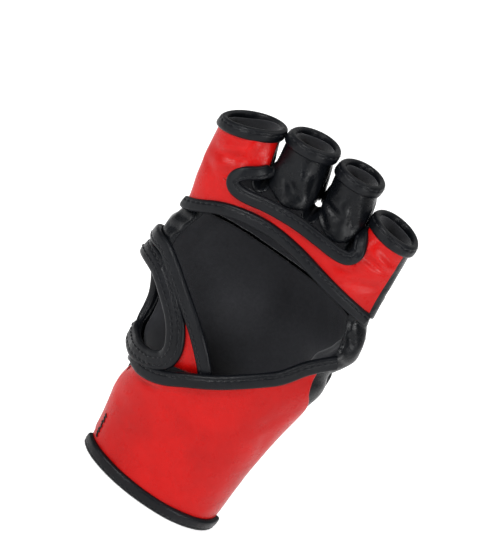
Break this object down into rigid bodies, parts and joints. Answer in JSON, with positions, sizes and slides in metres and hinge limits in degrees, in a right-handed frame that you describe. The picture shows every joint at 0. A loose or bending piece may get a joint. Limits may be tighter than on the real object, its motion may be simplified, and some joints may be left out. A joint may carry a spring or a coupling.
{
  "type": "mma glove",
  "caption": "Open-palm grappling glove for the left hand, red and black synthetic leather, padded knuckles, short finger sleeves, wrap-round wrist strap",
  "frame": {"origin": "centre of the bottom of the bounding box, on the level of the cuff's lower rim", "axes": "+Z from the cuff to the fingertips, which is the longest extent; -Y is the palm's side and +Y the back of the hand, the shortest extent; -X is the thumb's side"},
  "size_m": [0.1202, 0.0622, 0.1894],
  "materials": {
    "red_leather": "smooth glossy synthetic leather with a fine grain",
    "black_leather": "smooth satin synthetic leather, slightly blue black",
    "edge_tape": "folded synthetic leather tape with a row of stitches",
    "lining_cloth": "matt knitted textile",
    "padding": "soft closed-cell padding, out of sight",
    "loop_tape": "fuzzy loop side of a hook-and-loop closure",
    "hook_tape": "hook side of a hook-and-loop closure"
  },
  "bodies": {
    "hand": {"back_cover": "black_leather", "back_foam": "padding", "back_lining": "lining_cloth", "back_rim_binding": "edge_tape", "radial_edge_binding": "edge_tape", "ulnar_edge_binding": "edge_tape", "loop_patch": "loop_tape", "wrist_inner_panel": "black_leather"},
    "knuckles": {"knuckle_cover": "black_leather", "knuckle_foam": "padding", "knuckle_lining": "lining_cloth", "palm_bridge": "red_leather", "palm_bridge_lining": "lining_cloth", "bridge_lower_binding": "edge_tape", "slot_binding": "edge_tape", "index_middle_web": "black_leather", "middle_ring_web": "black_leather", "ring_little_web": "black_leather"},
    "thumb_loop": {"thumb_strip": "red_leather", "thumb_palm_binding": "edge_tape", "thumb_hole_binding": "edge_tape"},
    "strap_front": {"strap_front": "red_leather", "strap_front_lining": "lining_cloth", "strap_top_binding": "edge_tape", "strap_bottom_binding": "edge_tape"},
    "strap_tab": {"strap_tab": "red_leather", "strap_tab_binding": "edge_tape", "hook_patch": "hook_tape"},
    "index_finger": {"index_sleeve": "red_leather", "index_lining": "lining_cloth", "index_pad": "padding", "index_rim_binding": "edge_tape"},
    "middle_finger": {"middle_sleeve": "black_leather", "middle_lining": "lining_cloth", "middle_pad": "padding", "middle_rim_binding": "edge_tape"},
    "ring_finger": {"ring_sleeve": "black_leather", "ring_lining": "lining_cloth", "ring_pad": "padding", "ring_rim_binding": "edge_tape"},
    "little_finger": {"little_sleeve": "red_leather", "little_lining": "lining_cloth", "little_pad": "padding", "little_rim_binding": "edge_tape"}
  },
  "joints": [
    {"name": "knuckle_fold", "type": "hinge", "parent": "hand", "child": "knuckles", "pos_m": [0.00448, 0.00201, 0.126], "axis": [1, 0, 0], "range_deg": [0, 40], "stiffness_Nm_per_rad": 0.6},
    {"name": "index_flex", "type": "hinge", "parent": "knuckles", "child": "index_finger", "pos_m": [-0.04152, -0.01399, 0.1575], "axis": [0.991, 0, 0.134], "range_deg": [0, 25], "stiffness_Nm_per_rad": 0.06},
    {"name": "middle_flex", "type": "hinge", "parent": "knuckles", "child": "middle_finger", "pos_m": [-0.01212, -0.01399, 0.1615], "axis": [0.9848, 0, 0.1736], "range_deg": [0, 25], "stiffness_Nm_per_rad": 0.06},
    {"name": "ring_flex", "type": "hinge", "parent": "knuckles", "child": "ring_finger", "pos_m": [0.01488, -0.01399, 0.1612], "axis": [0.981, 0, 0.1942], "range_deg": [0, 25], "stiffness_Nm_per_rad": 0.06},
    {"name": "little_flex", "type": "hinge", "parent": "knuckles", "child": "little_finger", "pos_m": [0.04008, -0.01399, 0.1575], "axis": [0.991, 0, 0.134], "range_deg": [0, 25], "stiffness_Nm_per_rad": 0.06},
    {"name": "thumb_loop_swing", "type": "hinge", "parent": "hand", "child": "thumb_loop", "pos_m": [-0.02852, -0.01399, 0.0855], "axis": [0.7521, -0.2616, -0.6049], "range_deg": [-5, 5], "stiffness_Nm_per_rad": 0.05},
    {"name": "strap_front_swing", "type": "hinge", "parent": "hand", "child": "strap_front", "pos_m": [0.05408, 0.00251, 0.052], "axis": [0.0288, 0.0096, 0.9995], "range_deg": [0, 30]},
    {"name": "strap_tab_peel", "type": "hinge", "parent": "strap_front", "child": "strap_tab", "pos_m": [-0.02752, -0.00649, 0.025], "axis": [-0.101, 0, 0.9949], "range_deg": [0, 75]}
  ],
  "couplings": [
    {"joint": "strap_front_swing", "follows": "strap_tab_peel", "ratio": 0.4}
  ]
}
